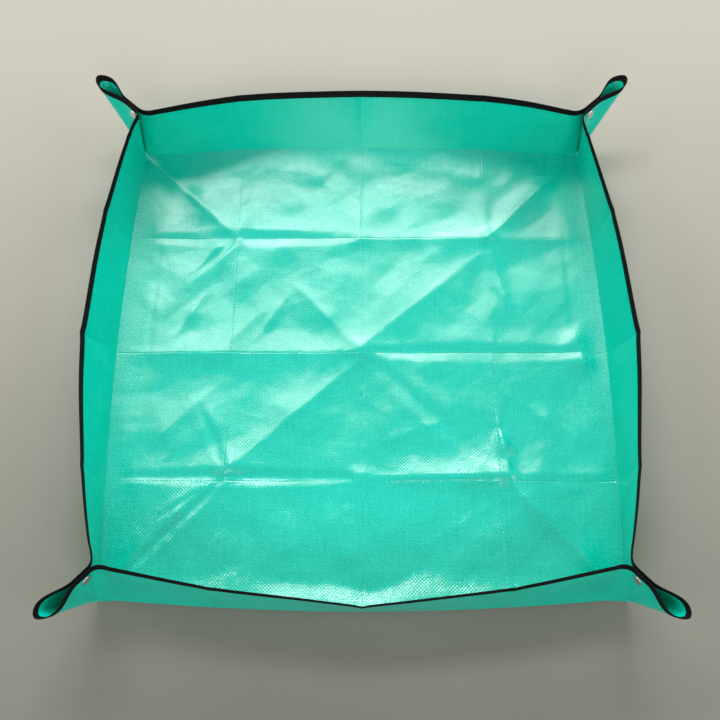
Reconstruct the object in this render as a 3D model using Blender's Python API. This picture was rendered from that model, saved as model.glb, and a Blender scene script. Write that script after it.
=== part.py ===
# Gardening mat: a square sheet whose four corners are pinched into ears and snapped, so that it forms a tray
# Metres, +Z up, the front wall faces -Y, and the sheet rests on Z = 0
import bpy
import bmesh
import math
from mathutils import Matrix, Vector

# Flat sheet: a square floor with a border all round, 0.68 over all, and the border stands up as the walls
BASE_SIDE = 0.53
WALL_HEIGHT = 0.075
SHEET_THICK = 0.0005
HALF_BASE = BASE_SIDE / 2
GROUND = SHEET_THICK / 2
FIT_GAP = 0.0003
FLOOR_GAP = 0.0005

# Foot of the walls: how far each base edge bows out, and the soft turn from the floor into the wall
FRONT_BOW = 0.0127
BACK_BOW = 0.0
SIDE_BOW = 0.0074
FOOT_TURN_MID = 0.0035
FOOT_TURN_CORNER = 0.0015

# Lean of the walls from the vertical in degrees, outward positive, and how straight the change runs
FRONT_LEAN_MID = -0.5
FRONT_LEAN_END = -22.5
FRONT_STRAIGHT_SHARE = 0.95
BACK_LEAN_MID = 49.0
BACK_LEAN_END = 0.0
BACK_STRAIGHT_SHARE = 0.25
LEFT_LEAN_MID = 19.0
LEFT_FRONT_LEAN_END = -14.0
LEFT_FRONT_STRAIGHT_SHARE = 0.62
LEFT_BACK_LEAN_END = -4.0
LEFT_BACK_STRAIGHT_SHARE = -0.07
RIGHT_LEAN_MID = 15.5
RIGHT_FRONT_LEAN_END = -15.8
RIGHT_FRONT_STRAIGHT_SHARE = 0.45
RIGHT_BACK_LEAN_END = -9.0
RIGHT_BACK_STRAIGHT_SHARE = 0.23

# Corners: the pinch on the rim and the tip of the ear, as shares of the wall height from the base corner,
# with x and y outward positive
FRONT_PINCH_SHARES = (-0.0987, -0.276, 0.912)
FRONT_TIP_SHARES = (0.3333, 0.3387, 1.2867)
BACK_PINCH_SHARES = (-0.0347, 0.2, 0.9587)
BACK_TIP_SHARES = (0.6173, 0.7867, 0.9747)
CORNER_RUN = 0.028
CORNER_PULL_SHARE = 0.42

# Ears: half distance between the two halves of an ear at its crease, snap, rim and fold, and its drop shape
CREASE_OFFSET = 0.0015
SNAP_OFFSET = 0.00175
RIM_OFFSET = 0.0013
FOLD_OFFSET = 0.00045
EAR_BELLY = 0.0072
EAR_BELLY_START_SHARE = 0.28
EAR_BELLY_FORM = 27 / 4  # brings the highest value of swell * swell * (1 - swell) to one
EAR_LOW_SHARE = 0.04
EAR_CUT_BACK = 0.00035
SNAP_LAND_LOW_SHARE = 0.6
RIM_LAND_SHARE = 0.9

# Folded tape round the edge
BINDING_WIDTH = 0.007
BINDING_TAPE = 0.0005
BINDING_OUT = SHEET_THICK / 2 + FIT_GAP + BINDING_TAPE / 2
BINDING_CROWN = FIT_GAP + BINDING_TAPE / 2
BINDING_CROWN_SHARE = 1.0

# Snaps: four pieces on one axis, measured from the middle plane of the ear
CAP_RADIUS = 0.0055
SNAP_MARGIN = 0.0007
SNAP_EDGE = 0.0001
SNAP_DOWN = BINDING_WIDTH + SNAP_MARGIN + CAP_RADIUS
SNAP_IN = CAP_RADIUS + SNAP_EDGE
HOLE_RADIUS = 0.0019
CAP_EDGE = 0.0005
CAP_HEIGHT = 0.0016
CAP_BEVEL_SHARE = 0.88
CAP_SHOULDER_SHARE = 0.6
SHANK_RADIUS = 0.0014
SHANK_SEAT = 0.0008
SOCKET_RADIUS = 0.0048
SOCKET_HEIGHT = 0.0018
SOCKET_FLOOR = 0.0006
SOCKET_BORE = 0.0025
SOCKET_PIN_BORE = 0.0017
SOCKET_LIP_SHARE = 0.86
SOCKET_STRAIGHT_SHARE = 0.5
STUD_RADIUS = 0.0042
STUD_FLANGE = 0.0003
STUD_KNOB_RADIUS = 0.0020
STUD_KNOB_HEIGHT = 0.0012
STUD_KNOB_SHARE = 0.85
STUD_BULGE_SHARE = 0.6
STUD_BORE = 0.0013
STUD_BORE_DEPTH = 0.0009
POST_RADIUS = 0.0046
POST_HEIGHT = 0.0008
POST_PIN_RADIUS = 0.0010
POST_SEAT = 0.0010

# Storage folds pressed into the floor
FOLD_RISE = 0.0030
WEAK_FOLD_SHARE = 0.35
UPRIGHT_FOLD_SHARE = 0.3
RIDGE_RISE = 0.0032
WEAK_RIDGE_SHARE = 0.45
PEAK_RISE = 0.0020
PEAK_WIDTH_SHARE = 1.5
FOLD_WIDTH = 0.016
EDGE_CALM = 0.045
MOUNT_CALM = 0.040
MOUNT_FLAT = 0.028

# Motion: a wall turns just outside the floor's edge, and laid open it still rises by a clearance in degrees
HINGE_OUT = 0.001
OPEN_CLEARANCE = 4.5
FRONT_OPEN_LEAN = -16.8
BACK_OPEN_LEAN = 11.8
SIDE_OPEN_LEAN = -4.1
FRONT_EAR_SLANT = 44.9
BACK_EAR_SLANT = 51.2
BACK_SIDE_EAR_SLANT = 38.7

# Mesh density: the storage folds lie on the floor's grid lines, and a wall's foot spreads over its last cell
FLOOR_CELLS = 22
FOLD_CELLS = 6
FOLD_LINE = BASE_SIDE * FOLD_CELLS / FLOOR_CELLS
FOOT_SPREAD_START = HALF_BASE - BASE_SIDE / FLOOR_CELLS
WALL_STRAIGHT_CELLS = 14
WALL_CORNER_CELLS = 5
WALL_RISE_CELLS = 3
EAR_ACROSS_SHARES = (0.0, EAR_BELLY_START_SHARE, 0.46, 0.63, 0.79, 0.91, 1.0)
EAR_RISE_SHARES = (EAR_LOW_SHARE, 0.32, SNAP_LAND_LOW_SHARE, RIM_LAND_SHARE, 1.0)
SNAP_SIDES = 14
NO_TURNED_ROW = 100
BINDING_TURNED_ROW = 2

# Colours as linear values
SHEET_GREEN = (0.0, 0.47, 0.32, 1.0)
BINDING_BLACK = (0.012, 0.012, 0.013, 1.0)
SNAP_STEEL = (0.62, 0.62, 0.60, 1.0)

UP = Vector((0, 0, 1))

WALLS = {
    "front": dict(along=Vector((1, 0, 0)), out=Vector((0, -1, 0)), bow=FRONT_BOW,
                  mid=FRONT_LEAN_MID, low=(FRONT_LEAN_END, FRONT_STRAIGHT_SHARE, "fl"),
                  high=(FRONT_LEAN_END, FRONT_STRAIGHT_SHARE, "fr"), open_lean=FRONT_OPEN_LEAN),
    "back": dict(along=Vector((1, 0, 0)), out=Vector((0, 1, 0)), bow=BACK_BOW,
                 mid=BACK_LEAN_MID, low=(BACK_LEAN_END, BACK_STRAIGHT_SHARE, "bl"),
                 high=(BACK_LEAN_END, BACK_STRAIGHT_SHARE, "br"), open_lean=BACK_OPEN_LEAN),
    "left": dict(along=Vector((0, 1, 0)), out=Vector((-1, 0, 0)), bow=SIDE_BOW,
                 mid=LEFT_LEAN_MID, low=(LEFT_FRONT_LEAN_END, LEFT_FRONT_STRAIGHT_SHARE, "fl"),
                 high=(LEFT_BACK_LEAN_END, LEFT_BACK_STRAIGHT_SHARE, "bl"), open_lean=SIDE_OPEN_LEAN),
    "right": dict(along=Vector((0, 1, 0)), out=Vector((1, 0, 0)), bow=SIDE_BOW,
                  mid=RIGHT_LEAN_MID, low=(RIGHT_FRONT_LEAN_END, RIGHT_FRONT_STRAIGHT_SHARE, "fr"),
                  high=(RIGHT_BACK_LEAN_END, RIGHT_BACK_STRAIGHT_SHARE, "br"), open_lean=SIDE_OPEN_LEAN),
}

# Each corner names its two signs and the wall whose half of the ear carries the cap
CORNERS = {
    "fl": dict(sign=(-1, -1), walls=("front", "left"), cap="front"),
    "fr": dict(sign=(1, -1), walls=("front", "right"), cap="front"),
    "bl": dict(sign=(-1, 1), walls=("back", "left"), cap="left"),
    "br": dict(sign=(1, 1), walls=("back", "right"), cap="right"),
}


def clear_scene():
    for old in list(bpy.data.objects):
        bpy.data.objects.remove(old, do_unlink=True)


def make_material(name, colour, roughness, metallic):
    material = bpy.data.materials.new(name)
    material.use_nodes = True
    shader = material.node_tree.nodes["Principled BSDF"]
    shader.inputs["Base Color"].default_value = colour
    shader.inputs["Roughness"].default_value = roughness
    shader.inputs["Metallic"].default_value = metallic
    return material


def smooth_step(value):
    value = min(max(value, 0.0), 1.0)
    return value * value * (3 - 2 * value)


def blend(first, second, share):
    return first + (second - first) * share


# Geometry of a corner, shared by the floor, the walls, the ears and the snaps
def corner_points(corner):
    sign_x, sign_y = CORNERS[corner]["sign"]
    base = Vector((sign_x * HALF_BASE, sign_y * HALF_BASE, GROUND))
    if sign_y < 0:
        pinch = Vector(FRONT_PINCH_SHARES) * WALL_HEIGHT
        tip = Vector(FRONT_TIP_SHARES) * WALL_HEIGHT
    else:
        pinch = Vector(BACK_PINCH_SHARES) * WALL_HEIGHT
        tip = Vector(BACK_TIP_SHARES) * WALL_HEIGHT
    mirror = Vector((sign_x, sign_y, 1))
    pinch_at = base + Vector((pinch.x * mirror.x, pinch.y * mirror.y, pinch.z))
    tip_at = base + Vector((tip.x * mirror.x, tip.y * mirror.y, tip.z))
    return base, pinch_at, tip_at


def ear_side(corner, wall):
    base, pinch, tip = corner_points(corner)
    side = (pinch - base).cross(tip - base).normalized()
    middle = WALLS[wall]["out"] * HALF_BASE
    if side.dot(middle - base) < 0:
        side = -side
    return side


def crease_offset(share):
    if share < RIM_LAND_SHARE:
        return blend(CREASE_OFFSET, SNAP_OFFSET, smooth_step(share / SNAP_LAND_LOW_SHARE))
    return blend(SNAP_OFFSET, RIM_OFFSET, (share - RIM_LAND_SHARE) / (1 - RIM_LAND_SHARE))


def fold_offset(share):
    run = (share - SNAP_LAND_LOW_SHARE) / (RIM_LAND_SHARE - SNAP_LAND_LOW_SHARE)
    return blend(FOLD_OFFSET, RIM_OFFSET, smooth_step(run))


def crease_point(corner, wall, share):
    base, pinch, tip = corner_points(corner)
    return blend(base, pinch, share) + ear_side(corner, wall) * crease_offset(share)


# Geometry of a wall
def wall_end(wall, direction):
    if direction < 0:
        return WALLS[wall]["low"]
    return WALLS[wall]["high"]


def wall_end_run(wall, direction):
    corner = wall_end(wall, direction)[2]
    crease = crease_point(corner, wall, 0.0)
    along = abs(crease.dot(WALLS[wall]["along"]))
    out = crease.dot(WALLS[wall]["out"]) - HALF_BASE
    return along, out


def corner_start(wall, direction):
    pinch = corner_points(wall_end(wall, direction)[2])[1]
    return abs(pinch.dot(WALLS[wall]["along"])) - CORNER_RUN


def foot_out(wall, run):
    share = min(abs(run) / HALF_BASE, 1.0)
    bow = WALLS[wall]["bow"] * (1 - share * share)
    end, out = wall_end_run(wall, run)
    spread = min(max((abs(run) - FOOT_SPREAD_START) / (end - FOOT_SPREAD_START), 0.0), 1.0)
    return bow + out * spread


def foot_turn(run):
    share = min(abs(run) / HALF_BASE, 1.0)
    return blend(FOOT_TURN_MID, FOOT_TURN_CORNER, share * share)


def wall_lean(wall, run):
    end, straight, corner = wall_end(wall, run)
    share = abs(run) / HALF_BASE
    change = straight * share + (1 - straight) * share * share
    return math.radians(blend(WALLS[wall]["mid"], end, change))


def foot_point(wall, run):
    form = WALLS[wall]
    return form["along"] * run + form["out"] * (HALF_BASE + foot_out(wall, run)) + UP * GROUND


def rim_point(wall, run):
    form = WALLS[wall]
    lean = wall_lean(wall, run)
    length = WALL_HEIGHT - max(foot_out(wall, run), 0.0)
    return foot_point(wall, run) + (form["out"] * math.sin(lean) + UP * math.cos(lean)) * length


def corner_rim(wall, direction, share):
    corner = wall_end(wall, direction)[2]
    base, pinch, tip = corner_points(corner)
    start_run = corner_start(wall, direction) * direction
    start = rim_point(wall, start_run)
    step = start - rim_point(wall, start_run - direction * FIT_GAP)
    end = crease_point(corner, wall, 1.0)
    reach = (end - start).length * CORNER_PULL_SHARE
    first = start + step.normalized() * reach
    second = end + (pinch - tip).normalized() * reach
    rest = 1 - share
    return (start * rest ** 3 + first * (3 * rest * rest * share)
            + second * (3 * rest * share * share) + end * share ** 3)


def wall_station(wall, direction, share):
    start = corner_start(wall, direction)
    end = wall_end_run(wall, direction)[0]
    run = blend(start, end, share) * direction
    return dict(run=run, foot=foot_point(wall, run), rim=corner_rim(wall, direction, share),
                turn=share, corner=wall_end(wall, direction)[2])


def wall_stations(wall):
    stations = []
    for step in range(WALL_CORNER_CELLS):
        stations.append(wall_station(wall, -1, 1 - step / WALL_CORNER_CELLS))
    low = corner_start(wall, -1)
    high = corner_start(wall, 1)
    for step in range(WALL_STRAIGHT_CELLS + 1):
        run = blend(-low, high, step / WALL_STRAIGHT_CELLS)
        stations.append(dict(run=run, foot=foot_point(wall, run), rim=rim_point(wall, run),
                             turn=0.0, corner=wall_end(wall, run)[2]))
    for step in range(WALL_CORNER_CELLS):
        stations.append(wall_station(wall, 1, (step + 1) / WALL_CORNER_CELLS))
    return stations


def wall_column(wall, station):
    form = WALLS[wall]
    turn = foot_turn(station["run"])
    foot = station["foot"]
    rise = station["rim"] - foot
    first = foot - form["out"] * turn
    last = foot + rise.normalized() * turn
    low_share = turn / rise.length
    points = [first, (first + foot * 2 + last) / 4]
    tape_share = 1 - BINDING_WIDTH / rise.length
    shares = [blend(low_share, tape_share, step / WALL_RISE_CELLS) for step in range(WALL_RISE_CELLS + 1)]
    for share in shares + [1.0]:
        straight = blend(CREASE_OFFSET, RIM_OFFSET, share)
        spread = (crease_offset(share) - straight) * station["turn"] ** 3
        points.append(foot + rise * share + ear_side(station["corner"], wall) * spread)
    return points


# Geometry of half an ear
def ear_point(corner, wall, across, share):
    base, pinch, tip = corner_points(corner)
    width = (tip - pinch).length
    place = blend(EAR_CUT_BACK, width * share - EAR_CUT_BACK, across)
    part = place / (width * share)
    swell = max(part - EAR_BELLY_START_SHARE, 0.0) / (1 - EAR_BELLY_START_SHARE)
    edge = fold_offset(share)
    offset = edge + (crease_offset(share) - edge) * (1 - part ** 4)
    offset += EAR_BELLY * share * EAR_BELLY_FORM * swell * swell * (1 - swell)
    return blend(base, pinch, share) + (tip - pinch).normalized() * place + ear_side(corner, wall) * offset


def snap_frame(corner):
    base, pinch, tip = corner_points(corner)
    toward_tip = (tip - pinch).normalized()
    share = 1 - SNAP_DOWN / (pinch - base).length
    centre = blend(base, pinch, share) + toward_tip * SNAP_IN
    axis = ear_side(corner, CORNERS[corner]["cap"])
    across = axis.cross(toward_tip).normalized()
    turn = Matrix((toward_tip, across, axis)).transposed()
    return centre, turn


# Joint axes: a wall turns on its base edge, half an ear turns on a line through its corner
def wall_hinge(wall):
    form = WALLS[wall]
    place = form["out"] * (HALF_BASE + HINGE_OUT) + UP * GROUND
    axis = UP.cross(form["out"])
    limit = 90 - form["open_lean"] - OPEN_CLEARANCE
    return place, axis, limit


def ear_hinge(corner, wall):
    form = WALLS[wall]
    base, pinch, tip = corner_points(corner)
    rise = (pinch - base).normalized()
    fold = (tip - base).normalized()
    spread = rise.angle(fold)
    onward = form["along"]
    if onward.dot(base) < 0:
        onward = -onward
    lean = math.radians(form["open_lean"])
    upright = form["out"] * math.sin(lean) + UP * math.cos(lean)
    slant = math.radians(FRONT_EAR_SLANT)
    if base.y > 0:
        slant = math.radians(BACK_EAR_SLANT if wall == "back" else BACK_SIDE_EAR_SLANT)
    flat_fold = onward * math.cos(slant) + upright * math.sin(slant)
    flat_rise = onward * math.cos(slant + spread) + upright * math.sin(slant + spread)
    folded = Matrix((rise, fold, rise.cross(fold).normalized())).transposed()
    flat = Matrix((flat_rise, flat_fold, flat_rise.cross(flat_fold).normalized())).transposed()
    turn = (flat @ folded.inverted()).to_quaternion()
    axis, angle = turn.to_axis_angle()
    return crease_point(corner, wall, 0.0), axis, math.degrees(angle)


def make_hinge(name, place, axis, limit, parent):
    hinge = bpy.data.objects.new(name, None)
    hinge.rotation_mode = "QUATERNION"
    hinge.rotation_quaternion = Vector((1, 0, 0)).rotation_difference(axis)
    hinge.location = place
    bpy.context.scene.collection.objects.link(hinge)
    bpy.context.view_layer.update()
    if parent is not None:
        world = hinge.matrix_world.copy()
        hinge.parent = parent
        hinge.matrix_parent_inverse = parent.matrix_world.inverted()
        hinge.matrix_world = world
    bpy.context.view_layer.update()
    print("hinge", name, [round(v, 6) for v in place], [round(v, 6) for v in axis], round(limit, 3))
    return hinge


def add_object(name, points, faces, material, hinge):
    mesh = bpy.data.meshes.new(name)
    mesh.from_pydata([tuple(point) for point in points], [], faces)
    mesh.materials.append(material)
    made = bpy.data.objects.new(name, mesh)
    bpy.context.scene.collection.objects.link(made)
    if hinge is not None:
        mesh.transform(hinge.matrix_world.inverted())
        made.parent = hinge
    return made


# Triangles of a grid: each cell is cut along one diagonal up to the turned row, and along the other after it
def grid_faces(columns, rows, turned_row):
    faces = []
    for column in range(columns - 1):
        for row in range(rows - 1):
            low = column * rows + row
            if row < turned_row:
                faces.append((low, low + rows, low + rows + 1))
                faces.append((low, low + rows + 1, low + 1))
            else:
                faces.append((low, low + rows, low + 1))
                faces.append((low + rows, low + rows + 1, low + 1))
    return faces


def add_thickness(made, thickness):
    solid = made.modifiers.new("thickness", "SOLIDIFY")
    solid.thickness = thickness
    solid.offset = 0.0
    solid.use_even_offset = True
    solid.use_rim = True


def make_cloth(name, columns, thickness, material, hinge, turned_row=NO_TURNED_ROW):
    points = [point for column in columns for point in column]
    faces = grid_faces(len(columns), len(columns[0]), turned_row)
    made = add_object(name, points, faces, material, hinge)
    add_thickness(made, thickness)
    return made


def line_normal(line, index, inward):
    tangent = Vector((0, 0, 0))
    if index > 0:
        tangent += (line[index] - line[index - 1]).normalized()
    if index < len(line) - 1:
        tangent += (line[index + 1] - line[index]).normalized()
    return tangent.cross(inward).normalized()


# Folded tape over an edge: the points of the edge, and the points of the sheet under the tape's two borders
def binding_columns(edge, border):
    columns = []
    for index, (top, low) in enumerate(zip(edge, border)):
        inward = (low - top).normalized()
        at_top = line_normal(edge, index, inward) * (BINDING_OUT * BINDING_CROWN_SHARE)
        at_low = line_normal(border, index, inward) * BINDING_OUT
        crown = top - inward * BINDING_CROWN
        columns.append([low - at_low, crown - at_top, crown + at_top, low + at_low])
    return columns


def make_wall(wall, materials, hinge):
    columns = [wall_column(wall, station) for station in wall_stations(wall)]
    make_cloth("wall_" + wall, columns, SHEET_THICK, materials["green"], hinge)
    edge = [column[-1] for column in columns]
    tape = binding_columns(edge, [column[-2] for column in columns])
    make_cloth("binding_" + wall, tape, BINDING_TAPE, materials["black"], hinge, BINDING_TURNED_ROW)


def make_hole_cutter(corner):
    centre, turn = snap_frame(corner)
    mesh = bpy.data.meshes.new("snap_hole_" + corner)
    form = bmesh.new()
    bmesh.ops.create_cone(form, cap_ends=True, segments=SNAP_SIDES, radius1=HOLE_RADIUS,
                          radius2=HOLE_RADIUS, depth=CAP_RADIUS * 2)
    form.to_mesh(mesh)
    form.free()
    cutter = bpy.data.objects.new("snap_hole_" + corner, mesh)
    cutter.matrix_world = Matrix.Translation(centre) @ turn.to_4x4()
    cutter.hide_render = True
    cutter.display_type = "WIRE"
    bpy.context.scene.collection.objects.link(cutter)
    return cutter


def make_ear(corner, wall, materials, hinge, cutter):
    label = corner + "_" + wall
    columns = []
    for across in EAR_ACROSS_SHARES:
        columns.append([ear_point(corner, wall, across, share) for share in EAR_RISE_SHARES])
    sheet = make_cloth("ear_" + label, columns, SHEET_THICK, materials["green"], hinge)
    hole = sheet.modifiers.new("snap hole", "BOOLEAN")
    hole.operation = "DIFFERENCE"
    hole.solver = "EXACT"
    hole.object = cutter
    edge = [column[-1] for column in columns]
    tape = binding_columns(edge, [column[-2] for column in columns])
    make_cloth("ear_binding_" + label, tape, BINDING_TAPE, materials["black"], hinge, BINDING_TURNED_ROW)


# A turned piece: the outline is closed when it has a bore, and it ends on the axis when it has none
def make_turned(name, outline, centre, turn, material, hinge):
    points = []
    rings = []
    for radius, height in outline:
        ring = []
        if radius == 0:
            ring.append(len(points))
            points.append(Vector((0, 0, height)))
        else:
            for side in range(SNAP_SIDES):
                angle = 2 * math.pi * side / SNAP_SIDES
                ring.append(len(points))
                points.append(Vector((radius * math.cos(angle), radius * math.sin(angle), height)))
        rings.append(ring)
    if len(rings[0]) > 1:
        rings.append(rings[0])
    faces = []
    for low, high in zip(rings, rings[1:]):
        for side in range(SNAP_SIDES):
            after = (side + 1) % SNAP_SIDES
            if len(low) == 1:
                faces.append((low[0], high[side], high[after]))
            elif len(high) == 1:
                faces.append((low[side], low[after], high[0]))
            else:
                faces.append((low[side], low[after], high[after], high[side]))
    placed = [centre + turn @ point for point in points]
    made = add_object(name, placed, faces, material, hinge)
    form = bmesh.new()
    form.from_mesh(made.data)
    bmesh.ops.recalc_face_normals(form, faces=form.faces)
    form.to_mesh(made.data)
    form.free()
    return made


def cap_outline():
    under = SNAP_OFFSET + SHEET_THICK / 2 + FIT_GAP
    edge = under + CAP_EDGE
    top = under + CAP_HEIGHT
    return [(0, SHANK_SEAT), (SHANK_RADIUS, SHANK_SEAT), (SHANK_RADIUS, under), (CAP_RADIUS, under),
            (CAP_RADIUS, edge), (CAP_RADIUS * CAP_BEVEL_SHARE, blend(edge, top, CAP_SHOULDER_SHARE)),
            (CAP_RADIUS / 2, blend(edge, top, CAP_BEVEL_SHARE)), (0, top)]


def socket_outline():
    seat = SNAP_OFFSET - SHEET_THICK / 2 - FIT_GAP
    mouth = seat - SOCKET_HEIGHT
    floor = seat - SOCKET_FLOOR
    shoulder = blend(seat, mouth, SOCKET_STRAIGHT_SHARE)
    return [(SOCKET_PIN_BORE, seat), (SOCKET_RADIUS, seat), (SOCKET_RADIUS, shoulder),
            (SOCKET_RADIUS * SOCKET_LIP_SHARE, mouth), (SOCKET_BORE, mouth), (SOCKET_BORE, floor),
            (SOCKET_PIN_BORE, floor)]


def stud_outline():
    seat = -(SNAP_OFFSET - SHEET_THICK / 2 - FIT_GAP)
    flange = seat + STUD_FLANGE
    knob = flange + STUD_KNOB_HEIGHT
    return [(0, seat + STUD_BORE_DEPTH), (STUD_BORE, seat + STUD_BORE_DEPTH), (STUD_BORE, seat),
            (STUD_RADIUS, seat), (STUD_RADIUS, flange), (STUD_KNOB_RADIUS * STUD_KNOB_SHARE, flange),
            (STUD_KNOB_RADIUS, blend(flange, knob, STUD_BULGE_SHARE)),
            (STUD_KNOB_RADIUS * STUD_KNOB_SHARE, knob), (0, knob)]


def post_outline():
    under = -(SNAP_OFFSET + SHEET_THICK / 2 + FIT_GAP)
    return [(0, -POST_SEAT), (POST_PIN_RADIUS, -POST_SEAT), (POST_PIN_RADIUS, under),
            (POST_RADIUS, under), (POST_RADIUS * CAP_BEVEL_SHARE, under - POST_HEIGHT),
            (0, under - POST_HEIGHT)]


def make_snap(corner, materials, cap_hinge, stud_hinge):
    centre, turn = snap_frame(corner)
    steel = materials["steel"]
    make_turned("snap_cap_" + corner, cap_outline(), centre, turn, steel, cap_hinge)
    make_turned("snap_socket_" + corner, socket_outline(), centre, turn, steel, cap_hinge)
    make_turned("snap_stud_" + corner, stud_outline(), centre, turn, steel, stud_hinge)
    make_turned("snap_post_" + corner, post_outline(), centre, turn, steel, stud_hinge)


# Floor relief: folds along and across, ridges to the corners, and a peak where the folds cross
def fold_height(distance):
    return max(0.0, 1 - abs(distance) / FOLD_WIDTH)


def floor_rise(x, y):
    rise = 0.0
    for line in (-FOLD_LINE, 0.0, FOLD_LINE):
        lift = 1.0 if (x > 0) != (line == 0.0) else WEAK_FOLD_SHARE
        rise += FOLD_RISE * lift * fold_height(y - line)
        rise += FOLD_RISE * UPRIGHT_FOLD_SHARE * fold_height(x - line)
    for turn in (-1, 1):
        strength = 1.0 if turn * x < 0 else WEAK_RIDGE_SHARE
        rise += RIDGE_RISE * strength * fold_height((x - turn * y) / math.sqrt(2))
    for corner_x in (-FOLD_LINE, FOLD_LINE):
        for corner_y in (-FOLD_LINE, FOLD_LINE):
            rise += PEAK_RISE * fold_height(math.hypot(x - corner_x, y - corner_y) / PEAK_WIDTH_SHARE)
    reach = min(HALF_BASE - abs(x), HALF_BASE - abs(y))
    centre = max(abs(x), abs(y))
    return rise * smooth_step(reach / EDGE_CALM) * smooth_step((centre - MOUNT_FLAT) / MOUNT_CALM)


def floor_limit(wall, run):
    end = wall_end_run(wall, run if run else 1)[0]
    place = min(abs(run), end) * (-1 if run < 0 else 1)
    return HALF_BASE + foot_out(wall, place) - foot_turn(place) - FLOOR_GAP


def make_floor(materials):
    columns = []
    for column in range(FLOOR_CELLS + 1):
        share_x = 2 * column / FLOOR_CELLS - 1
        points = []
        for row in range(FLOOR_CELLS + 1):
            share_y = 2 * row / FLOOR_CELLS - 1
            side = "right" if share_x > 0 else "left"
            end = "back" if share_y > 0 else "front"
            x = share_x * floor_limit(side, share_y * HALF_BASE)
            y = share_y * floor_limit(end, share_x * HALF_BASE)
            points.append(Vector((x, y, GROUND + floor_rise(share_x * HALF_BASE, share_y * HALF_BASE))))
        columns.append(points)
    make_cloth("floor_sheet", columns, SHEET_THICK, materials["green"], None)


def make_mat():
    clear_scene()
    materials = {
        "green": make_material("laminated_green_sheet", SHEET_GREEN, 0.32, 0.0),
        "black": make_material("black_binding_tape", BINDING_BLACK, 0.75, 0.0),
        "steel": make_material("snap_metal", SNAP_STEEL, 0.3, 1.0),
    }
    make_floor(materials)
    wall_hinges = {}
    for wall in WALLS:
        place, axis, limit = wall_hinge(wall)
        wall_hinges[wall] = make_hinge("hinge_" + wall, place, axis, limit, None)
        make_wall(wall, materials, wall_hinges[wall])
    for corner, form in CORNERS.items():
        cutter = make_hole_cutter(corner)
        hinges = {}
        for wall in form["walls"]:
            place, axis, limit = ear_hinge(corner, wall)
            name = "hinge_ear_" + corner + "_" + wall
            hinges[wall] = make_hinge(name, place, axis, limit, wall_hinges[wall])
            make_ear(corner, wall, materials, hinges[wall], cutter)
        other = [wall for wall in form["walls"] if wall != form["cap"]][0]
        make_snap(corner, materials, hinges[form["cap"]], hinges[other])


make_mat()
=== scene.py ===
# Gardening mat snapped into a tray: the green sheet, its black binding and its snaps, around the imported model
import math
import bmesh
import bpy
import numpy as np
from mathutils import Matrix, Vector


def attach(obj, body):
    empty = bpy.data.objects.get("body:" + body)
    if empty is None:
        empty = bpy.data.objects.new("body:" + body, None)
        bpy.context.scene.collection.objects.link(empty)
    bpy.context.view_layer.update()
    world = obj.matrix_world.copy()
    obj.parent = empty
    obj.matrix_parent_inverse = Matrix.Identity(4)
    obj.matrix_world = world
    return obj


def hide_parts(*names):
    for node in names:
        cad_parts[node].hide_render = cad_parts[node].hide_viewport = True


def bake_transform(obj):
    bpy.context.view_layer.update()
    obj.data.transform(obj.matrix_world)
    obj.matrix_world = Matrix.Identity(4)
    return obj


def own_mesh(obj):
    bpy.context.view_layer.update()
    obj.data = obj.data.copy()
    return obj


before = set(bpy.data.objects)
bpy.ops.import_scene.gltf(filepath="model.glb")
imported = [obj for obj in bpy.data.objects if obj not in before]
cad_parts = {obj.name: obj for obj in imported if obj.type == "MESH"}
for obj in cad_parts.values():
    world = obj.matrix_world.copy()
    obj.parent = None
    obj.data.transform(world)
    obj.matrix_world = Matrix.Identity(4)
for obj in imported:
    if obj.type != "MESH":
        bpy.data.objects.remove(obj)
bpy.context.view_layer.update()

# Shape of the folded mat, in metres, with leans in degrees from the vertical, outward positive
matShape = {
    "baseSide": 0.53,
    "wallHeight": 0.075,
    "sheetMiddle": 0.00025,      # height of the sheet's middle above the ground
    "sheetThick": 0.00036,
    "footTurnMid": 0.0035,       # soft turn from the floor into a wall
    "footTurnCorner": 0.0015,
    "footSpread": 10 / 11,       # from this share of half the base on, the foot spreads to the crease
    "cornerRun": 0.028,          # the rim starts to turn this far before the pinch
    "cornerPull": 0.42,          # length of that turn's handles, as a share of its chord
    "tangentStep": 0.0003,       # step back along the rim that gives its direction
    "creaseOffset": 0.0015,      # half distance between the two halves of an ear
    "snapOffset": 0.00175,
    "rimOffset": 0.0013,
    "foldOffset": 0.00045,
    "earBelly": 0.0072,
    "earBellyStart": 0.28,
    "earBellyClose": 0.9,        # the lower, the rounder the belly closes
    "earFoldRound": 0.03,        # the last share of an ear's width rounds into the fold
    "earLow": 0.004,             # an ear starts at this share of its height, not in a point
    "foldShare": 0.55,           # the storage folds cross a wall at this share of half the base
    "foldStiff": 0.55,           # how straight the rim runs from fold to fold
    "snapLand": 0.6,             # from this share of the height on, the layers keep the snap's distance
    "rimLand": 0.9,              # and from here on they close to the rim's
    # places from the base corner in shares of the wall height, at the front (-1) and at the back (1)
    "pinch": {-1: (-0.0987, -0.276, 0.912), 1: (-0.0347, 0.2, 0.9587)},
    "tip": {-1: (0.3333, 0.3387, 1.2867), 1: (0.6173, 0.7867, 0.9747)},
}
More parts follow.
